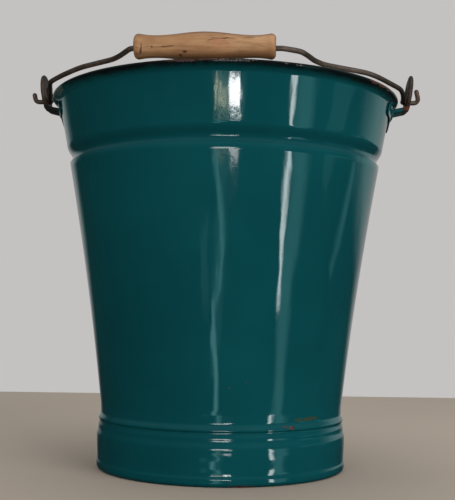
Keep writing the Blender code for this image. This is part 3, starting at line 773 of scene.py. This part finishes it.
def enamel_finish(name, gloss, dulled):
    """Petrol enamel over steel: black at the rim, pale inside, rusty chips, wipe marks and a wavy gloss."""
    finish, shader = new_finish(name, IOR=1.5, Specular_IOR_Level=gloss)
    point = finish.place()
    x, _, z = finish.parts(point)
    fine = finish.noise(point, 160.0, 5.0, 0.6)
    mist = finish.noise(point, 60.0, 4.0, 0.65, (1.0, 1.0, 0.35))
    ragged = finish.noise(point, 900.0, 3.0, 0.6)

    # Colour of the glaze, and painted shade along the groove
    finish.colour = finish.mix(finish.noise(point, 9.0, 4.0, 0.55).ramp(0.35, 0.68), TEAL_DEEP, TEAL)
    # Painted shade: the glaze is darker teal in and around the groove
    groove_shade = (GROOVE_HEIGHT - z).size().ramp(0.0070, 0.0005)
    finish.over(groove_shade * 0.45, linear(5, 56, 62))
    specks = finish.cells(point, 240.0).ramp(0.16, 0.05) * finish.noise(point, 30.0).ramp(0.52, 0.66)
    finish.over(specks * 0.35, TEAL_PALE)

    # The black rim fades down in wisps, lower at the right and higher at the far left
    low = x.ramp(-0.03, -0.07) * x.ramp(-0.112, -0.082) * 0.0007 + x.ramp(0.04, 0.12) * 0.0008
    fade = z + low - x.ramp(-0.110, -0.130) * 0.0011 + (mist - 0.5) * 0.0026 + (fine - 0.5) * 0.0012
    finish.over(fade.ramp(0.2957, 0.2990), BLACK)

    # The inside is pale below the roll
    inside = finish.marked("inside").ramp(0.45, 0.55) * (z + (mist - 0.5) * 0.003).ramp(0.2984, 0.2974)
    grime = finish.noise(point, 26.0, 6.0, 0.65).ramp(0.42, 0.75) * 0.4
    finish.over(inside, finish.mix(grime, PALE, linear(158, 146, 124)))

    # Chips and rust, and a painted sheen on the left of the rim
    strayed = finish.strayed(point, 420.0, 4.0, (0.0026, 0.0026, 0.0026))
    rust = finish.spots(strayed, RUST_SPOTS) * finish.noise(point, 520.0, 4.0, 0.7).ramp(0.36, 0.52)
    worn = finish.spots(strayed, WORN_SPOTS) * finish.noise(point, 700.0, 3.0, 0.7).ramp(0.50, 0.60)
    olive = finish.spots(strayed, OLIVE_SPOTS) * mist.ramp(0.36, 0.56)
    strip = finish.spots(strayed, RIM_STRIP) * finish.noise(point, 260.0, 4.0, 0.7).ramp(0.30, 0.55)
    painted_rim_sheen = finish.spots(strayed, RIM_SHEEN_PATCH) * mist.ramp(0.40, 0.58)
    edge = (z.ramp(0.2985, 0.3010) + z.ramp(0.0030, 0.0004)).held()
    nicks = finish.cells(point, 150.0).ramp(0.20, 0.12)
    nicks = nicks * finish.noise(point, 42.0, 2.0).ramp(0.60, 0.68) * edge
    speckle = finish.cells(point, 55.0).ramp(0.035, 0.018) * finish.noise(point, 11.0).ramp(0.50, 0.62)
    chipped = rust.at_least(nicks).at_least(speckle * 0.8)
    rusty = finish.mix(finish.noise(point, 330.0, 5.0, 0.7).ramp(0.35, 0.65), RUST_DARK, RUST)
    rusty = finish.mix(ragged.ramp(0.58, 0.72) * 0.5, rusty, RUST_BRIGHT)
    finish.over(strip * 0.8, linear(74, 50, 44))
    # Painted sheen: grey over the roll at the far left of the rim
    finish.over(painted_rim_sheen * 0.6, linear(96, 112, 110))
    finish.over(olive * 0.8, linear(60, 66, 40))
    finish.over(chipped, rusty)
    finish.over(worn * 0.5, linear(120, 110, 104))

    # The ears: bare brown iron where the neck turns up into the eye, and along the whole left neck
    bare = (x.size() + (ragged - 0.5) * 0.004).ramp(0.1462, 0.1492)
    left = (x + (fine - 0.5) * 0.006).ramp(-0.1390, -0.1425) * z.ramp(0.2974, 0.2964)
    bare = bare.at_least(left * 0.95)
    rusty_bend = fine.ramp(0.40, 0.62) * x.ramp(-0.02, 0.02) + fine.ramp(0.56, 0.70) * x.ramp(0.02, -0.02)
    finish.over(bare * 0.92, finish.mix(rusty_bend, linear(34, 24, 20), RUST))

    # Dirt lies on the foot
    stain = finish.noise(point, 120.0, 3.0, 0.5, (1.0, 1.0, 0.15)).ramp(0.55, 0.8) * z.ramp(0.010, 0.001)
    finish.over(stain * 0.45, linear(52, 40, 34))

    # Gloss: glassy, with faint wipe marks and dull chips
    wiped = finish.noise(point, 140.0, 4.0, 0.6, (1.0, 1.0, 0.08)).ramp(0.50, 0.85)
    shine = 0.045 + wiped * 0.05 + finish.noise(point, 14.0, 3.0).ramp(0.5, 0.9) * 0.05
    shine = shine + inside * 0.06 + dulled
    dull = chipped.at_least(worn).at_least(strip * 0.8).at_least(bare * 0.9)
    roughness = shine * (1 - dull) + dull * 0.62

    normal = finish.bump(finish.noise(point, 62.0, 2.0, 0.5, (1.0, 1.0, 0.22)), 0.00030, 0.78)
    normal = finish.bump(finish.noise(point, 560.0, 2.0, 0.5, (1.0, 1.0, 0.6)), 0.000012, 0.6, normal)
    normal = finish.bump(1 - dull, 0.00018, 0.8, normal)
    normal = finish.bump(finish.noise(point, 1500.0, 3.0) * dull, 0.00012, 0.9, normal)
    return connect(finish, shader, Base_Color=finish.colour, Roughness=roughness, Normal=normal)


def pan_finish():
    """Pale enamel on the floor: greyer in the corner, with stains, and petrol enamel underneath."""
    finish, shader = new_finish("pale_enamel_floor", IOR=1.5)
    point = finish.place()
    x, y, _ = finish.parts(point)
    grime = finish.noise(point, 34.0, 6.0, 0.65).ramp(0.40, 0.75) * 0.5
    corner = ((x * x + y * y) ** 0.5).ramp(0.080, 0.096) * 0.5
    rust = finish.cells(finish.sum(point, (0.01, 0.02, 0.0)), 38.0).ramp(0.10, 0.03)
    rust = rust * finish.noise(point, 260.0, 4.0).ramp(0.42, 0.55)
    finish.colour = finish.mix(grime.at_least(corner), PALE, linear(150, 138, 116))
    finish.over(rust, RUST)
    finish.over(finish.marked("inside").ramp(0.55, 0.45), TEAL_DEEP)
    roughness = 0.16 + grime * 0.3 + rust * 0.4
    normal = finish.bump(finish.noise(point, 70.0, 2.0), 0.0004, 0.5)
    normal = finish.bump(1 - rust, 0.00015, 0.8, normal)
    return connect(finish, shader, Base_Color=finish.colour, Roughness=roughness, Normal=normal)


def iron_finish(name, tone, brown, tips):
    """Iron gone brown: dull, mottled, drawn lines, rust in patches and at the tips, with painted shade at its
    edges.
    """
    finish, shader = new_finish(name, IOR=1.5)
    point = finish.place()
    cloud = finish.noise(point, 55.0, 5.0, 0.6)
    grain = finish.noise(point, 520.0, 5.0, 0.65)
    pits = finish.cells(point, 900.0).ramp(0.30, 0.12) * finish.noise(point, 130.0).ramp(0.48, 0.62)
    drawn = finish.noise(point, 1500.0, 3.0, 0.6, (0.12, 1.0, 1.0))
    rust = finish.noise(point, 85.0, 6.0, 0.7).ramp(0.56, 0.70)
    if tips:
        at_tip = finish.parts(point)[0].size().ramp(PIVOT_X + 0.0060, PIVOT_X + 0.0085) * 0.9
        rust = rust.at_least(at_tip * grain.ramp(0.35, 0.5))
    rubbed = grain.ramp(0.60, 0.74) * cloud.ramp(0.45, 0.60)

    finish.colour = finish.mix(cloud.ramp(0.35, 0.65), tone, brown)
    finish.over(rust * 0.65, finish.mix(grain.ramp(0.4, 0.6), RUST_DARK, RUST))
    finish.over(rubbed * 0.5, IRON_WORN)
    finish.over(pits * 0.6, linear(24, 19, 17))
    finish.over(drawn.ramp(0.46, 0.62) * 0.55, linear(38, 31, 27))
    # Painted shade: darker where the surface turns away from the eye
    finish.over(finish.turned_away().ramp(0.22, 0.85) * 0.85, linear(20, 15, 13))
    metal = 0.30 * (1 - rust)
    roughness = 0.46 + grain * 0.18 + rust * 0.2 - rubbed * 0.16
    normal = finish.bump(cloud, 0.0005, 0.35)
    normal = finish.bump(drawn, 0.00010, 0.6, normal)
    normal = finish.bump(grain, 0.00014, 0.6, normal)
    normal = finish.bump(1 - pits, 0.00010, 0.7, normal)
    connect(finish, shader, Base_Color=finish.colour, Roughness=roughness.held())
    return connect(finish, shader, Metallic=metal.held(), Normal=normal)


# Dents and dark checks in the grip, from its middle, as (place, radius, stretch)
WOOD_MARKS = (
    ((0.0100, -0.0093, 0.0034), 0.0075, (1.0, 0.5, 17.9)),
    ((0.0170, -0.0084, 0.0038), 0.0045, (1.0, 0.5, 12.9)),
    ((0.0315, -0.0064, 0.0048), 0.0045, (1.0, 0.5, 15.0)),
    ((-0.0240, -0.0082, -0.0019), 0.0042, (1.0, 0.5, 12.4)),
    ((-0.0285, -0.0078, -0.0021), 0.0018, (1.0, 0.5, 4.5)),
    ((-0.0366, -0.0076, -0.0023), 0.0008, (1.0, 0.5, 1.3)),
    ((-0.0135, -0.0077, -0.0057), 0.0018, (1.0, 0.5, 2.3)),
    ((-0.0167, -0.0052, -0.0077), 0.0014, (1.0, 0.5, 1.6)),
    ((0.0060, -0.0100, 0.0020), 0.0040, (1.0, 0.5, 18.2)),
    ((-0.0440, -0.0081, -0.0030), 0.0036, (9.0, 0.5, 1.0)),
    ((-0.0448, -0.0070, -0.0056), 0.0024, (5.0, 0.5, 1.0)),
)
# Larger patches: reddish in the middle, grey-brown at the ends, where hands and the wire have been
WOOD_PATCHES = (
    ((0.0100, -0.0099, 0.0), 0.0058, (1.0, 0.4, 1.6), (176, 116, 86)),
    ((0.0165, -0.0091, -0.0018), 0.0036, (1.0, 0.4, 2.4), (166, 104, 76)),
    ((0.0310, -0.0068, -0.0041), 0.0090, (1.0, 0.4, 2.0), (142, 106, 76)),
    ((-0.0410, -0.0080, 0.0017), 0.0080, (1.0, 0.4, 1.5), (132, 94, 62)),
    ((-0.0290, -0.0075, 0.0029), 0.0090, (0.7, 0.4, 2.6), (138, 98, 64)),
)


def wood_finish():
    """Beech gone brown with hands: grain along the grip, darker streaks, fine checks and patches of dirt,
    with painted shade on its top, underside and edges.
    """
    finish, shader = new_finish("handled_beech", IOR=1.45, Specular_IOR_Level=0.4)
    point = finish.sum(finish.place(), tuple(-c for c in GRIP_CENTRE))
    x, y, z = finish.parts(point)
    stretched = finish.times(point, (0.4, 1.0, 1.0))
    warped = finish.sum(point, finish.times(finish.stray(stretched, 45.0, 2.0), (0.0, 0.0022, 0.0022)))
    streaks = finish.noise(warped, 420.0, 5.0, 0.62, (0.075, 1.0, 1.0))
    bands = finish.noise(warped, 95.0, 3.0, 0.55, (0.075, 1.0, 1.0))
    pores = finish.cells(finish.times(warped, (0.06, 1.0, 1.0)), 1500.0).ramp(0.26, 0.10)
    patches = finish.noise(point, 60.0, 4.0, 0.6)
    flecks = finish.cells(finish.times(warped, (0.22, 1.0, 1.0)), 480.0).ramp(0.26, 0.08)
    flecks = flecks * patches.ramp(0.42, 0.62)

    finish.colour = finish.mix(bands.ramp(0.36, 0.62), linear(148, 106, 70), linear(174, 134, 96))
    finish.over(streaks.ramp(0.48, 0.70) * 0.62, linear(100, 66, 40))
    finish.over(pores * 0.30, linear(96, 64, 40))
    finish.over(patches.ramp(0.52, 0.78) * 0.40, linear(138, 100, 68))
    finish.over(flecks * 0.42, linear(112, 74, 46))

    # Checks: thin dark lines that run with the grain, and a few dents
    lines = (finish.noise(warped, 260.0, 2.0, 0.5, (0.05, 1.0, 1.0)) - 0.5).size().ramp(0.012, 0.003)
    cracks = lines * finish.noise(finish.sum(point, (0.3, 0.1, 0.0)), 75.0, 3.0).ramp(0.58, 0.66)
    nudged = finish.strayed(point, 500.0, 3.0, (0.0012, 0.0008, 0.0008))
    marks = finish.spots(nudged, WOOD_MARKS) * streaks.ramp(0.22, 0.36)
    cracks = (cracks * 0.6).at_least(marks)
    finish.over(cracks * 0.90, linear(64, 40, 22))
    for centre, size, stretch, tone in WOOD_PATCHES:
        patch = finish.spot(nudged, centre, size, stretch) * patches.ramp(0.34, 0.60)
        finish.over(patch * 0.42, linear(*tone))

    # The ends show cross grain, darkened by handling, and the bore is dirty with iron
    end = x.size().ramp(GRIP_LENGTH / 2 - 0.0022, GRIP_LENGTH / 2 - 0.0002)
    radius = (y * y + z * z) ** 0.5
    rings = finish.noise(finish.vector(0.0, radius * 9.0, x), 60.0, 3.0)
    finish.over(end * 0.55, finish.mix(rings.ramp(0.4, 0.6), linear(120, 84, 54), linear(154, 112, 76)))
    finish.over(radius.ramp(BORE_RADIUS + 0.0014, BORE_RADIUS + 0.0002) * 0.85, linear(40, 28, 22))
    # Painted shade: darker on the grip's top and underside
    top_and_under_shade = (z.ramp(-0.0030, -0.0095) * 0.55).at_least(z.ramp(0.0045, 0.0105) * 0.50)
    finish.over(top_and_under_shade, linear(96, 64, 40))
    # Painted shade: darker where the grip turns away from the eye
    finish.over(finish.turned_away().ramp(0.55, 1.0) * 0.55, linear(70, 44, 28))
    roughness = 0.56 + streaks * 0.14 + cracks * 0.2
    normal = finish.bump(streaks, 0.00016, 0.6)
    normal = finish.bump(1 - cracks, 0.00030, 0.8, normal)
    normal = finish.bump(patches, 0.0005, 0.25, normal)
    return connect(finish, shader, Base_Color=finish.colour, Roughness=roughness.held(), Normal=normal)


# Setting

TURN = math.radians(3.0)  # the bucket stands a little turned in the photo
CAMERA = (0.0019, -0.7708, 0.1249)
CAMERA_YAW, CAMERA_PITCH, CAMERA_ROLL = 0.0021, 0.0685, 0.0144
FOCAL_PIXELS = 923.0
LONG_SIDE_PIXELS = 500.0
SENSOR_WIDTH = 36.0
AMBIENT = 0.42  # what the room gives to dull surfaces
PALE_WALL = linear(196, 194, 193)

# Far bright cards that only the gloss shows, as (name, edges, strength, colour, softness, distance).
# Each edge is (elevation, low azimuth, high azimuth) in degrees as the bucket sees it, the camera's side
# at azimuth 0. Weak reflections look teal in the glaze, strong ones white.
WHITE = (1.0, 1.0, 1.0)
DAYLIGHT = (0.88, 1.0, 1.0)
YELLOW = (1.0, 0.97, 0.66)
TEAL_GLOSS = (0.36, 1.0, 1.0)
CARD_LEVEL = 0.2  # the height that the elevations are seen from
REFLECTIONS = (
    ("window", ((-8.1, 2.2, 11.0), (-8.8, 2.4, 10.8), (-9.0, 3.0, 10.2)), 38.0, WHITE, 0.12, 14.0),
    ("window_low", ((-10.2, 1.6, 11.0), (-10.6, 2.0, 10.8), (-11.0, 3.0, 9.6)), 9.0, WHITE, 0.25, 14.0),
    ("window_above", ((3.0, -9.0, 10.5), (-6.6, -11.0, 10.5)), 9.0, WHITE, 0.25, 14.0),
    ("window_frame", ((-8.1, -7.4, 2.2), (-9.2, -7.4, 2.6)), 10.0, YELLOW, 0.08, 14.5, True),
    ("window_board", ((-7.9, -9.0, 14.5), (-9.5, -9.0, 14.5)), 1.2, TEAL_GLOSS, 0.25, 15.0),
    ("window_shelf", ((-10.1, -8.6, 11.0), (-10.8, -8.6, 9.0)), 1.8, YELLOW, 0.25, 15.0),
    ("curtain_edge", (
        (-10.4, -8.4, -2.2), (-11.6, -7.2, -0.8), (-12.8, -4.6, 1.4), (-14.2, -4.8, 0.8), (-15.3, -5.6, 0.4),
        (-15.9, -8.6, -2.6),
    ), 2.1, TEAL_GLOSS, 0.5, 14.0),
    ("curtain_foot", (
        (-15.6, -10.0, -3.4), (-17.5, -10.6, -3.0), (-18.6, -8.6, -1.4), (-23.0, -8.2, -1.2),
    ), 2.9, (0.42, 1.0, 1.04), 0.48, 14.0),
    ("curtain_fold", ((-13.0, -18.4, -9.6), (-16.0, -18.8, -10.0)), 0.42, TEAL_GLOSS, 0.3, 14.0),
    ("curtain", ((-10.6, -4.0, 4.0), (-15.0, -12.0, 5.0), (-17.5, -8.0, 1.0)), 0.40, TEAL_GLOSS, 0.4, 15.0),
    ("door_edge", (
        (-4.0, 42.0, 48.2), (-9.0, 42.6, 48.8), (-11.5, 43.4, 50.0), (-14.6, 44.6, 51.2),
    ), 13.0, DAYLIGHT, 0.48, 14.0),
    ("door", (
        (-4.0, 44.0, 64.0), (-8.6, 44.0, 67.0), (-11.2, 45.0, 66.0), (-12.8, 45.0, 61.0),
    ), 1.25, TEAL_GLOSS, 0.42, 15.0),
    ("door_low", (
        (-12.0, 45.0, 61.0), (-14.0, 44.0, 63.0), (-16.0, 46.0, 61.0), (-19.0, 46.0, 65.0),
        (-25.0, 48.0, 63.0),
    ), 1.35, TEAL_GLOSS, 0.45, 15.0),
    ("shelf", ((6.0, 75.0, 108.0), (-7.0, 75.0, 82.0)), 0.35, TEAL_GLOSS, 0.1, 14.0),
    ("far_edge", (
        (-1.5, 104.0, 114.0), (-6.2, 98.0, 108.0), (-8.4, 94.0, 101.0),
    ), 0.6, TEAL_GLOSS, 0.5, 14.5),
)


def turned(x, y, z):
    """A place given as the camera faces the bucket, turned about Z into the model's own frame."""
    return (x * math.cos(TURN) - y * math.sin(TURN), x * math.sin(TURN) + y * math.cos(TURN), z)


def staged(name, points, faces, material):
    """A surface of the setting."""
    mesh = bpy.data.meshes.new(name)
    mesh.from_pydata(points, [], faces)
    mesh.materials.append(material)
    obj = bpy.data.objects.new(name, mesh)
    bpy.context.scene.collection.objects.link(obj)
    return obj


def make_camera():
    """The camera that was fitted to the photo's outlines."""
    data = bpy.data.cameras.new("camera")
    data.sensor_width = SENSOR_WIDTH
    data.lens = FOCAL_PIXELS * SENSOR_WIDTH / LONG_SIDE_PIXELS
    camera = bpy.data.objects.new("camera", data)
    camera.location = turned(*CAMERA)
    heading = Matrix.Rotation(TURN - CAMERA_YAW, 3, "Z")
    nod = Matrix.Rotation(math.pi / 2 + CAMERA_PITCH, 3, "X")
    camera.rotation_euler = (heading @ nod @ Matrix.Rotation(CAMERA_ROLL, 3, "Z")).to_euler()
    bpy.context.scene.collection.objects.link(camera)
    bpy.context.scene.camera = camera


def make_floor():
    """A plain pale table top."""
    finish, shader = new_finish("plain_table", Roughness=0.85, Specular_IOR_Level=0.2)
    soft = finish.noise(finish.place(), 5.0, 3.0).ramp(0.2, 0.8)
    connect(finish, shader, Base_Color=finish.mix(soft * 0.3, linear(170, 158, 146), linear(160, 149, 137)))
    corners = [turned(x, y, 0) for x, y in ((-2.5, -1.2), (2.5, -1.2), (2.5, 0.66), (-2.5, 0.66))]
    staged("table_top", corners, [(0, 1, 2, 3)], finish.owner).visible_glossy = False


def make_world():
    """Pale to the camera. Gloss sees a dim room, paler behind the bucket, at its right and above."""
    world = bpy.data.worlds.new("room")
    bpy.context.scene.world = world
    finish = Finish(world)
    x, y, z = finish.parts(finish.node("TexCoord").outputs["Generated"])
    behind = (y + z).ramp(0.70, 0.95) * y.ramp(0.60, 0.88) * z.ramp(0.62, 0.32) * 0.42
    right = x.ramp(0.15, 0.45) * y.ramp(0.20, 0.62) * z.ramp(-0.06, 0.02) * z.ramp(0.50, 0.25) * 0.42
    above = z.ramp(0.15, 0.80) * 0.15
    room = behind.at_least(right).at_least(above) + 0.016
    ray = finish.node("LightPath")
    kinds = ("Is Camera Ray", "Is Glossy Ray", "Is Transmission Ray")
    to_camera, to_gloss, through = (Value(finish.tree, ray.outputs[kind]) for kind in kinds)
    to_gloss = to_gloss.at_least(through)
    strength = (1 - to_gloss) * AMBIENT + to_gloss * room
    gloss_tint = finish.mix(to_gloss * y.ramp(0.95, 0.60), (1.0, 0.99, 0.97), (0.92, 1.45, 1.42))
    background = finish.tree.nodes["Background"]
    feed(finish.tree, background.inputs["Color"], finish.mix(to_camera, gloss_tint, PALE_WALL))
    feed(finish.tree, background.inputs["Strength"], (1 - to_camera) * strength + to_camera)


def lamp(name, place, aim, size, power, colour):
    """A soft square lamp at a place, facing a point, unseen in the gloss."""
    data = bpy.data.lights.new(name, "AREA")
    data.shape = "RECTANGLE"
    data.size = data.size_y = size
    data.energy = power
    data.color = colour
    obj = bpy.data.objects.new(name, data)
    back = np.array(place, float) - np.array(aim, float)
    back /= np.linalg.norm(back)
    side = np.cross((0.0, 0.0, 1.0), back)
    side /= np.linalg.norm(side)
    axes = np.stack([side, np.cross(back, side), back], -1)
    obj.matrix_world = Matrix([[*row, p] for row, p in zip(axes, place)] + [[0, 0, 0, 1]])
    obj.visible_glossy = False
    bpy.context.scene.collection.objects.link(obj)


def glow(name, strength, colour, soft, patchy):
    """The light of a far card: bright in the middle, softer at its sides, evenly lit or in patches."""
    finish = Finish(bpy.data.materials.new(name))
    finish.tree.nodes.clear()
    across = finish.marked("across")
    shown = across.ramp(0.0, soft) * across.ramp(1.0, 1.0 - soft)
    if patchy:
        shown = shown * finish.noise(finish.place(), 1.3, 3.0, 0.6, (1.0, 1.0, 5.0)).ramp(0.36, 0.60)
    light = finish.node("Emission", None, {"Color": colour, "Strength": strength})
    clear = finish.node("BsdfTransparent")
    blend = finish.node("MixShader", None, {0: shown, 1: clear.outputs[0], 2: light.outputs[0]})
    finish.node("OutputMaterial", None, {0: blend.outputs[0]})
    return finish.owner


def reflected(name, edges, strength, colour, soft, distance, patchy=False):
    """A bright card far off, seen only in the gloss: an even grid of places between its edges."""
    shares = np.linspace(0, 1, 9)
    points = []
    for elevation, low, high in edges:
        rise = distance * math.tan(math.radians(elevation))
        for a in np.radians(low + (high - low) * shares):
            points.append(turned(distance * math.sin(a), -distance * math.cos(a), CARD_LEVEL + rise))
    width = len(shares)
    starts = [r * width + c for r in range(len(edges) - 1) for c in range(width - 1)]
    faces = [(i, i + 1, i + width + 1, i + width) for i in starts]
    card = staged(name, points, faces, glow(name, strength, colour, soft, patchy))
    across = card.data.attributes.new("across", "FLOAT", "POINT")
    across.data.foreach_set("value", np.tile(shares, len(edges)))
    card.visible_camera = card.visible_diffuse = card.visible_shadow = card.visible_transmission = False


def make_lights():
    lamp("key", turned(1.5, -1.8, 1.1), (0, 0, 0.18), 1.6, 38.0, (1.0, 0.995, 0.98))
    lamp("fill", turned(-0.6, -1.7, 0.7), (0, 0, 0.18), 1.4, 9.0, (0.97, 0.99, 1.0))
    lamp("top", turned(0.0, 0.2, 1.9), (0, 0, 0.2), 1.6, 14.0, WHITE)
    for card in REFLECTIONS:
        reflected(*card)


def dress():
    """Builds every piece and gives each its finish."""
    enamel = enamel_finish("petrol_enamel", 0.42, 0.0)
    dull_enamel = enamel_finish("sheltered_enamel", 0.10, 0.40)
    eye_iron = iron_finish("eye_iron", linear(56, 45, 38), linear(84, 66, 55), tips=False)
    wire_iron = iron_finish("wire_iron", linear(112, 99, 90), linear(84, 68, 58), tips=True)
    make_shell().data.materials.append(enamel)
    make_pan().data.materials.append(pan_finish())
    for side, name in ((1, "right"), (-1, "left")):
        plate = make_plate(side, name)
        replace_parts(plate, f"ear_{name}")
        plate.data.materials.append(enamel)
        make_neck(side, name).data.materials.append(dull_enamel)
        make_eye(side, name).data.materials.append(eye_iron)
    make_bail().data.materials.append(wire_iron)
    make_grip().data.materials.append(wood_finish())


dress()
make_camera()
make_floor()
make_world()
make_lights()
bpy.context.scene.view_settings.view_transform = "Standard"
